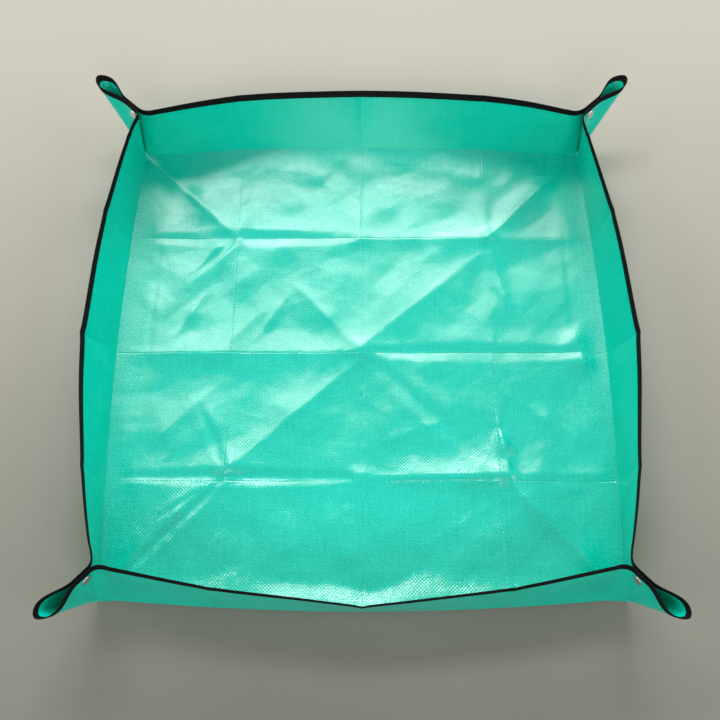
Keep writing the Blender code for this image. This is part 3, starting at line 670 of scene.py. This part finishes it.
def strokeHeight(x, y):
    # each stroke is a lens, widest and highest at half length, with a slow waver along it; across it a ridge is
    # one less the distance, to a power, and a valley rises in a straight line from its middle to a crest, then dies off
    look = strokeShape
    height = np.zeros(x.shape)
    for x0, y0, x1, y1, rise, width, kind in floorStrokes:
        start, step = np.array((x0, y0)) * halfBase, np.array((x1 - x0, y1 - y0)) * halfBase
        length = np.hypot(*step)
        along = ((x - start[0]) * step[0] + (y - start[1]) * step[1]) / length ** 2
        off = ((x - start[0]) * step[1] - (y - start[1]) * step[0]) / length
        over = np.maximum(np.maximum(-along, along - 1), 0) * length
        waver = 1 + look["waver"] * np.sin(along * 9 + x0 * 7 + y1 * 5)
        lens = look["lensEnd"] + (1 - look["lensEnd"]) * np.sin(np.pi * np.clip(along, 0, 1)) ** look["lensPower"]
        fade = smooth(1 - over / look["runOut"]) * waver * lens
        reach = np.abs(off) / (width * lens)
        if kind == ridge:
            size, foot, power = look["ridge"]
            height += rise * size * fade * np.maximum(1 - reach / foot, 0) ** power
        else:
            size, crest, slope = look["valley"]
            height += rise * size * fade * np.minimum(reach / crest, np.exp(-(reach - crest) / slope))
    return height


def crumpleHeight(x, y):
    # waves are products of two bent sines; facets are triangle waves, each in patches of its own
    height = np.zeros(x.shape)
    for turnX, turnY, bendY, swingY, phaseX, crossY, crossX, bendX, swingX, phaseY, rise in floorWaves:
        first = np.sin(x * turnX + y * turnY + np.sin(y * bendY) * swingY + phaseX)
        height += first * np.sin(y * crossY + x * crossX + np.sin(x * bendX) * swingX + phaseY) * rise
    for turnX, turnY, phase, rise in floorFacets:
        bend = 0.5 * np.sin(y * 13 - x * 9 + phase * 2)
        wave = np.arcsin(np.sin(x * turnX + y * turnY + phase + bend)) / (np.pi / 2)
        patch = np.sin(x * 17 + phase * 3 + np.sin(y * 11)) * np.sin(y * 21 + phase * 5 + np.sin(x * 15))
        height += wave * smooth(0.5 + 1.1 * patch) * rise
    return height


def floorHeight(x, y):
    # strokes, sharp peaks where folds cross, round curls and crumples, added up over the mean height
    height = strokeHeight(x, y)
    peak, reach = peakShape
    for px, py in floorPeaks:
        height += peak * np.exp(-np.hypot(x - px * halfBase, y - py * halfBase) / reach)
    for px, py, rise, width in floorCurls:
        height += rise * np.exp(-((x - px * halfBase) ** 2 + (y - py * halfBase) ** 2) / width ** 2)
    return height + crumpleHeight(x, y) + floorLook["lift"]


def floorEdge(wall, run):
    # where the floor's border meets the wall, how far out and how high: it lies on the wall's surface,
    # goes down to the start of the soft turn near the corners, and passes there to a line just past the foot
    shape, look = wallShape[wall], floorLook
    share = np.abs(run) / halfBase
    fade = smooth((look["climbEnd"][0] - share) / look["climbEnd"][1])
    rise = look["climb"][wall][0] * fade - smooth((share - look["tuck"][0]) / look["tuck"][1])
    place = wallSurface(wall, run, rise)
    corner = smooth((share - look["leave"][0]) / look["leave"][1])
    border = halfBase + footOut(shape, run) + look["past"]
    out, up = place @ shape["out"], place[..., 2] - matShape["sheetMiddle"]
    return out * (1 - corner) + border * corner, up * (1 - corner)


def climbWidth(wall, run, width):
    # the width times one plus sines along the wall, the last of them bent by another
    change = 1
    for size, turn, shift in floorLook["climbWaves"]:
        change = change + size * np.sin(run * turn + shift * len(wall))
    size, turn, swing, bend = floorLook["climbRipple"]
    return width * (change + size * np.sin(run * turn + swing * np.sin(run * bend)))


def makeFloor():
    # a square grid stretched to its four borders, with its relief calmed near them; near each border it climbs
    # to the wall's height there, as a smooth step in front and as a power curve elsewhere
    look = floorLook
    steps = np.linspace(-1, 1, look["cells"] + 1)
    sx, sy = np.meshgrid(steps, steps, indexing="ij")
    outs = {wall: floorEdge(wall, steps * halfBase) for wall in wallShape}
    limitX = np.where(sx > 0, outs["right"][0][None, :], outs["left"][0][None, :])
    limitY = np.where(sy > 0, outs["back"][0][:, None], outs["front"][0][:, None])
    x, y = sx * limitX, sy * limitY
    reach = np.minimum(limitX - np.abs(x), limitY - np.abs(y))
    calm = smooth((reach - look["flatBorder"]) / look["calm"]) ** 0.7
    z = matShape["sheetMiddle"] + np.maximum(floorHeight(x, y), 0) * calm
    for wall, (_, width) in look["climb"].items():
        side = wall in ("left", "right")
        run, height = (sy, outs[wall][1][None, :]) if side else (sx, outs[wall][1][:, None])
        away = limitX - np.abs(x) if side else limitY - np.abs(y)
        same = (sx if side else sy) * (1 if wall in ("right", "back") else -1) > 0
        width = climbWidth(wall, run, width)
        near = np.clip((width - away) / width, 0, 1)
        z += height * np.where(same, smooth(near) if wall == "front" else near ** 1.8, 0)
    z -= look["borderDrop"] * smooth(1 - reach / look["flatBorder"])
    tab = (np.minimum(np.abs(sx), np.abs(sy)) > 0.9999) * look["cornerTab"]      # only at the four corner points
    x, y = x + np.sign(sx) * tab, y + np.sign(sy) * tab
    piece = makeSheet("floor_cloth", np.stack((x, y, z), -1), np.stack((x, y), -1), floorSheetPaintedDarker)
    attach(piece, "floor")
    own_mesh(piece)
    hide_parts("floor_sheet")


makeFloor()
print("stage: floor made")


# Walls: a middle panel, and two corner panels that bend into the ears
panelLook = {
    "columns": 230, "rows": 26, "turnRows": 7, "fanColumns": 26,
    "keep": 0.05, "earKeep": 0.08,         # share of the curve that stays when the mat is laid open
    "bendFrom": 0.94, "bendPast": 0.0004,  # a corner panel bends from this share of its width to just past the crease
    "earColumns": 44, "earRows": 30,
    "earCrowd": 1.35,                      # the higher, the closer an ear's columns stand near the fold
    "earCut": 1.05,                        # the flat cut's sides over those of the plane ear
    "leastSide": 0.0102, "leastFill": 0.3,
}


def riseRows():
    # rows of the soft turn, then rows from foot to rim
    return np.concatenate((np.linspace(-1, 0, panelLook["turnRows"])[:-1], np.linspace(0, 1, panelLook["rows"])))


def fanRun(wall, direction):
    # where the corner panel begins, between the start of the rim's turn and the crease
    end = wallShape[wall]["end"][direction]
    return end["start"] + (end["run"] - end["start"]) * end["fan"]


def layPlane(wall):
    # plane fitted to the two lines where the corner panels start: a point on it and its normal
    shape = wallShape[wall]
    corners = np.concatenate([wallSurface(wall, fanRun(wall, d) * d, np.array((0.0, 1.0))) for d in (-1, 1)])
    centre = corners.mean(0)
    normal = np.linalg.svd(corners - centre)[2][2]
    return centre, normal * np.sign(normal @ shape["out"])


def wallUv(wall, run, points):
    # the sheet laid flat: along the wall, and out by half the base, the bow and the distance from the foot,
    # which is written as a negative on every wall
    shape = wallShape[wall]
    foot = footPoint(shape, run[:, 0])
    height = np.linalg.norm(points - foot[:, None], axis=-1)
    flat = np.stack((run, -(halfBase + footOut(shape, run) + height)), -1)
    return flat if wall in ("front", "back") else flat[..., ::-1]


def tapeLines(wall, run):
    # the rim, and the line one tape's width below it
    edge = wallSurface(wall, run, np.ones(len(run)))
    foot = wallSurface(wall, run, np.zeros(len(run)))
    share = 1 - tapeShape["width"] / np.linalg.norm(edge - foot, axis=1)
    return edge, wallSurface(wall, run, share)


def lineLengths(line):
    # length along the line from its first point to each of its points
    return np.concatenate(((0,), np.cumsum(np.linalg.norm(np.diff(line, axis=0), axis=1))))


def gridSize(points):
    # width, length and area of the cloth between the grid's points
    width = np.linalg.norm(np.diff(points, axis=0), axis=-1).sum(0).mean()
    length = np.linalg.norm(np.diff(points, axis=1), axis=-1).sum(1).mean()
    cells = np.cross(points[1:, 1:] - points[:-1, :-1], points[:-1, 1:] - points[1:, :-1])
    return width, length, np.linalg.norm(cells, axis=-1).sum() / 2


def dress(piece, node, slot, width, length, area):
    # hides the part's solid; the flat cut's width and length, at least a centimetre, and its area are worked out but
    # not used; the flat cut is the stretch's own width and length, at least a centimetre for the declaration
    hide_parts(node)
    width, length = max(width, panelLook["leastSide"]), max(length, panelLook["leastSide"])
    area = min(max(area, panelLook["leastFill"] * width * length), width * length)


def bendAtCrease(piece, wall, run, end):
    # bakes the piece's transform into its mesh; where a bend square to the crease would run, from the panel's start to
    # just past the crease, is worked out but not used
    corner, direction = end["corner"], (1 if run[0] > 0 else -1)
    foot, last = creasePoint(corner, wall, 0.0), creasePoint(corner, wall, 1.0)
    crease, onward = unit(last - foot), wallShape[wall]["along"] * direction
    step = unit(onward - crease * (onward @ crease))
    starts = wallSurface(wall, run[0], np.array((-1.0, 0.0, 0.5, 1.0)))
    start = foot - step * min((foot - starts) @ step) * panelLook["bendFrom"]
    finish = foot + step * (min((last - foot) @ step, 0) - panelLook["bendPast"])
    "ear_" + corner + "_" + wall
    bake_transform(piece)


def makeWall(wall):
    # sheet and binding of the middle panel, then those of the two corner panels
    centre, normal = layPlane(wall)
    low, high = -fanRun(wall, -1), fanRun(wall, 1)
    stretches = [("middle", np.linspace(low, high, panelLook["columns"]), None)]
    for direction in (-1, 1):
        end = wallShape[wall]["end"][direction]
        run = np.linspace(fanRun(wall, direction), end["run"], panelLook["fanColumns"]) * direction
        stretches.append((end["corner"], run, end))
    for label, run, end in stretches:
        rise = riseRows()
        grid, rises = np.meshgrid(run, rise, indexing="ij")
        points = wallSurface(wall, grid, rises)
        uv = wallUv(wall, grid, points)
        if (run[-1] > run[0]) != (wall in ("front", "right")):              # the grid's order turns the faces outward
            points, uv = points[::-1], uv[::-1]
        panel = makeSheet("wall_" + wall + "_" + label, points, uv, wallSheetPaintedLighter)
        edge, border = tapeLines(wall, run)
        lengths = lineLengths(edge) + run[0]
        tape = makeTape("binding_" + wall + "_" + label, edge, border, lengths, blackTape)
        for piece in (panel, tape):
            if end is None:
                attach(piece, wall + "_wall")
                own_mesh(piece)
            else:
                bendAtCrease(piece, wall, run, end)
        dress(panel, "wall_" + wall, "sheet", *gridSize(points))
        reach = lengths[-1] - lengths[0]
        dress(tape, "binding_" + wall, "binding", reach, tapeShape["flat"], reach * tapeShape["flat"])


for wallName in wallShape:
    makeWall(wallName)
print("stage: walls made")


# Ears: two halves to a corner, each bound along its rim
def makeEar(corner, wall):
    # sheet and binding of the half ear that goes on from the given wall
    look = panelLook
    base, pinch, tip = cornerPoints(corner)
    side = earSide(corner, wall)
    body = "ear_" + corner + "_" + wall
    across = 1 - (1 - np.linspace(0, 1, look["earColumns"])) ** look["earCrowd"]
    share = np.linspace(matShape["earLow"], 1, look["earRows"])
    a, s = np.meshgrid(across, share, indexing="ij")
    points = earSurface(corner, wall, a, s)
    width = np.linalg.norm(tip - pinch)
    height = np.linalg.norm(pinch - base)
    uv = np.stack((halfBase + a * s * width, halfBase + s * height), -1)
    normal = gridNormals(points)[look["earColumns"] // 2, look["earRows"] // 2]
    if normal @ side < 0:
        points, uv = points[::-1], uv[::-1]
    panel = makeSheet("ear_cloth_" + corner + "_" + wall, points, uv, wallSheetPaintedLighter)
    edge = earSurface(corner, wall, across, np.ones(len(across)))
    border = earSurface(corner, wall, across, np.full(len(across), 1 - tapeShape["width"] / height))
    border = edge + unit(border - edge) * tapeShape["width"]
    lengths = lineLengths(edge)
    tape = makeTape("ear_tape_" + corner + "_" + wall, edge, border, lengths, blackTape)
    anchor = base + side * matShape["snapOffset"]
    for piece in (panel, tape):
        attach(piece, body)
        body + "_fold"
        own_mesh(piece)
    dress(panel, body, "sheet", width * look["earCut"], height * look["earCut"], gridSize(points)[2])
    reach = lengths[-1]
    dress(tape, "ear_binding_" + corner + "_" + wall, "binding", reach, tapeShape["flat"], reach * tapeShape["flat"])


for corner, values in cornerShape.items():
    for wallName in values[2:]:
        makeEar(corner, wallName)
print("stage: ears made")


# Snaps: turned outlines as radius and height along the snap's axis, from the middle plane of the ear
snapShape = {
    "capRadius": 0.0055,
    "margin": 0.0007,            # between the cap and the binding
    "edge": 0.0001,              # between the cap and the crease
    "halfLayer": 0.00025,        # half of one layer of sheet, as in the solids
    "clear": 0.0003,
    "wrap": 0.005,               # radius that the outline's own map is wrapped on
    "sides": 72,
}


def snapOutlines():
    # cap and post sit on the outer faces of the two layers, socket and stud on the faces between them
    seat = matShape["snapOffset"] + snapShape["halfLayer"] + snapShape["clear"]
    inner = matShape["snapOffset"] - snapShape["halfLayer"] - snapShape["clear"]
    cap = [(0, 0.0008), (0.0014, 0.0008), (0.0014, seat), (0.0053, seat), (0.0055, seat + 0.00012),
           (0.0055, seat + 0.00042), (0.00538, seat + 0.0006), (0.0051, seat + 0.00082), (0.0047, seat + 0.00105),
           (0.0042, seat + 0.00124), (0.0038, seat + 0.00132), (0.00355, seat + 0.00128), (0.0033, seat + 0.00134),
           (0.0025, seat + 0.00149), (0.0013, seat + 0.00158), (0, seat + 0.0016)]
    socket = [(0.0017, inner), (0.0046, inner), (0.0048, inner - 0.0002), (0.0048, inner - 0.0009),
              (0.0046, inner - 0.0013), (0.0041, inner - 0.0018), (0.0029, inner - 0.0018), (0.0025, inner - 0.0016),
              (0.0025, inner - 0.0006), (0.0017, inner - 0.0006)]
    stud = [(0, 0.0009 - inner), (0.0013, 0.0009 - inner), (0.0013, -inner), (0.0042, -inner), (0.0042, 0.0003 - inner),
            (0.0022, 0.00032 - inner), (0.0017, 0.0005 - inner), (0.0019, 0.0009 - inner), (0.0020, 0.0012 - inner),
            (0.0017, 0.0015 - inner), (0, 0.0015 - inner)]
    post = [(0, -0.001), (0.001, -0.001), (0.001, -seat), (0.0045, -seat), (0.0046, -seat - 0.00015),
            (0.0043, -seat - 0.0006), (0.0036, -seat - 0.00078), (0.0030, -seat - 0.0007), (0.0022, -seat - 0.00078),
            (0, -seat - 0.0008)]
    return {"cap": cap, "socket": socket, "stud": stud, "post": post}


def makeTurned(name, outline, centre, turn):
    # the outline is swept round the axis, and closes on itself where it has a bore
    outline = np.array(outline)
    if outline[0, 0] > 0:
        outline = np.concatenate((outline, outline[:1]))
    sides = snapShape["sides"]
    angle = np.linspace(0, 2 * math.pi, sides, endpoint=False)
    ring = np.stack((outline[:, :1] * np.cos(angle), outline[:, :1] * np.sin(angle),
                     np.repeat(outline[:, 1:], sides, 1)), -1)
    points = centre + ring.reshape(-1, 3) @ turn.T
    uv = np.stack(np.broadcast_arrays(angle[None] * snapShape["wrap"], outline[:, :1]), -1).reshape(-1, 2)
    piece = makeMesh(name, points, gridFaces(len(outline), sides, closed=True), uv, nickel)
    form = bmesh.new()
    form.from_mesh(piece.data)
    bmesh.ops.remove_doubles(form, verts=form.verts, dist=1e-6)
    bmesh.ops.recalc_face_normals(form, faces=form.faces)
    form.to_mesh(piece.data)
    form.free()
    piece.data.set_sharp_from_angle(angle=sharpAngle)
    return piece


def makeSnap(corner):
    # four turned parts on one axis, square to the ear, below the binding and beside the crease
    base, pinch, tip = cornerPoints(corner)
    capWall, studWall = cornerShape[corner][2:]
    towardTip = unit(tip - pinch)
    down = tapeShape["width"] + snapShape["margin"] + snapShape["capRadius"]
    share = 1 - down / np.linalg.norm(pinch - base)
    centre = base + (pinch - base) * share + towardTip * (snapShape["capRadius"] + snapShape["edge"])
    axis = earSide(corner, capWall)
    turn = np.stack((towardTip, unit(np.cross(axis, towardTip)), axis), -1)
    for kind, outline in snapOutlines().items():
        piece = makeTurned("snap_" + kind + "_fine_" + corner, outline, centre, turn)
        wall = capWall if kind in ("cap", "socket") else studWall
        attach(piece, "ear_" + corner + "_" + wall)
        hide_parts("snap_" + kind + "_" + corner)


for corner in cornerShape:
    makeSnap(corner)
print("stage: snaps made")


# Studio: pale ground, painted darker towards the front as painted shade, two wide soft boxes behind, others at the
# sides, in front and above
studio = {
    # ground is the front's colour, painted dark as painted shade; groundPale is the ground's own pale colour
    "ground": (0.15, 0.15, 0.125, 1), "groundPale": (0.41, 0.39, 0.335, 1), "backdrop": (0.42, 0.41, 0.37, 1),
    "paleFrom": -0.6, "paleTo": 0.55,      # front to back, the painted shade on the ground gives way to its pale colour between these places
    "fadeFrom": 2.2, "fadeTo": 7.0,        # and passes into the backdrop's colour between these distances
    "groundSize": 60.0, "groundRough": 0.85, "clouds": (3.0, 4.0), "cloudShift": 0.2,
    "world": 0.25, "worldColour": (1.0, 0.985, 0.95, 1),
    # place, size and power
    "lamps": {"key": ((-1.0, 4.9, 5.7), (6.4, 1.5), 310), "low key": ((0.4, 6.5, 3.1), (4.0, 1.2), 380),
              "left fill": ((-5.9, -0.9, 3.2), (4.0, 3.0), 150), "right fill": ((5.9, -0.9, 3.2), (4.0, 3.0), 150),
              "front fill": ((0.0, -5.6, 4.6), (5.0, 2.5), 215), "top": ((0.0, 1.9, 7.4), (6.0, 3.4), 8)},
    "lens": 41.8, "sensor": 36, "nearest": 0.02,
    "cameraPlace": (-0.0019, -0.3477, 0.8697), "cameraPitch": 68.61,
}


def makeGround():
    # a wide square, painted darker towards the front as painted shade that deepens the mat's shadow there; far off, and
    # only where it is seen, it glows in the backdrop's colour
    made = Finish("pale ground")
    place = made.node("ShaderNodeTexCoord", {}, (), 3)
    x, y, _ = made.axes(place)
    cloud = made.noise(place, *studio["clouds"])
    pale = (y + (cloud - 0.5) * studio["cloudShift"]).soft(studio["paleFrom"], studio["paleTo"])
    colour = made.mix(pale, studio["ground"], studio["groundPale"])
    made.set(Base_Color=colour, Roughness=studio["groundRough"])
    seen = [made.node("ShaderNodeLightPath", {}, (), kind)
            for kind in ("Is Camera Ray", "Is Glossy Ray", "Is Transmission Ray")]
    seen = (seen[0] + seen[1] + seen[2]).math("MINIMUM", 1.0)
    far = (x * x + y * y).soft(studio["fadeFrom"] ** 2, studio["fadeTo"] ** 2) * seen
    glow = made.node("ShaderNodeEmission", {}, {"Color": studio["backdrop"], "Strength": 1.0})
    both = made.node("ShaderNodeMixShader", {}, (far, Value(made, made.shader.outputs[0]), glow))
    made.plug(made.nodes["Material Output"].inputs[0], both)
    ends = (-studio["groundSize"], studio["groundSize"])
    x, y = np.meshgrid(ends, ends, indexing="ij")
    points = np.stack((x, y, x * 0), -1).reshape(-1, 3)
    makeMesh("ground", points, gridFaces(2, 2), np.zeros((4, 2)), made.material)


def makeLamps():
    # every lamp looks at the middle of the mat
    for name, (position, size, power) in studio["lamps"].items():
        lamp = bpy.data.lights.new(name, "AREA")
        lamp.shape, lamp.size, lamp.size_y, lamp.energy = "RECTANGLE", size[0], size[1], power
        holder = bpy.data.objects.new(name, lamp)
        holder.location = position
        holder.rotation_euler = Vector(position).to_track_quat("Z", "Y").to_euler()
        bpy.context.scene.collection.objects.link(holder)


def makeWorld():
    # soft light all round; seen directly, in a reflection or through a body it has the backdrop's colour
    world = bpy.data.worlds.new("studio")
    world.use_nodes = True
    light, tree = world.node_tree.nodes["Background"], world.node_tree
    light.inputs[0].default_value = studio["worldColour"]
    light.inputs[1].default_value = studio["world"]
    path, beyond, both = (tree.nodes.new("ShaderNode" + kind) for kind in ("LightPath", "Background", "MixShader"))
    first, second = (tree.nodes.new("ShaderNodeMath") for _ in range(2))
    second.use_clamp = True
    beyond.inputs[0].default_value = studio["backdrop"]
    links = ((path.outputs["Is Camera Ray"], first.inputs[0]), (path.outputs["Is Glossy Ray"], first.inputs[1]),
             (first.outputs[0], second.inputs[0]), (path.outputs["Is Transmission Ray"], second.inputs[1]),
             (second.outputs[0], both.inputs[0]), (light.outputs[0], both.inputs[1]),
             (beyond.outputs[0], both.inputs[2]), (both.outputs[0], tree.nodes["World Output"].inputs[0]))
    for source, target in links:
        tree.links.new(source, target)
    bpy.context.scene.world = world


def makeCamera():
    # the photograph's view, pitched down from the horizontal
    camera = bpy.data.cameras.new("camera")
    camera.lens, camera.sensor_width, camera.clip_start = studio["lens"], studio["sensor"], studio["nearest"]
    holder = bpy.data.objects.new("camera", camera)
    holder.location = studio["cameraPlace"]
    holder.rotation_euler = (math.radians(90 - studio["cameraPitch"]), 0, 0)
    bpy.context.scene.collection.objects.link(holder)
    bpy.context.scene.camera = holder
    bpy.context.scene.view_settings.view_transform = "Standard"


makeGround()
makeLamps()
makeWorld()
makeCamera()
print("stage: studio made")
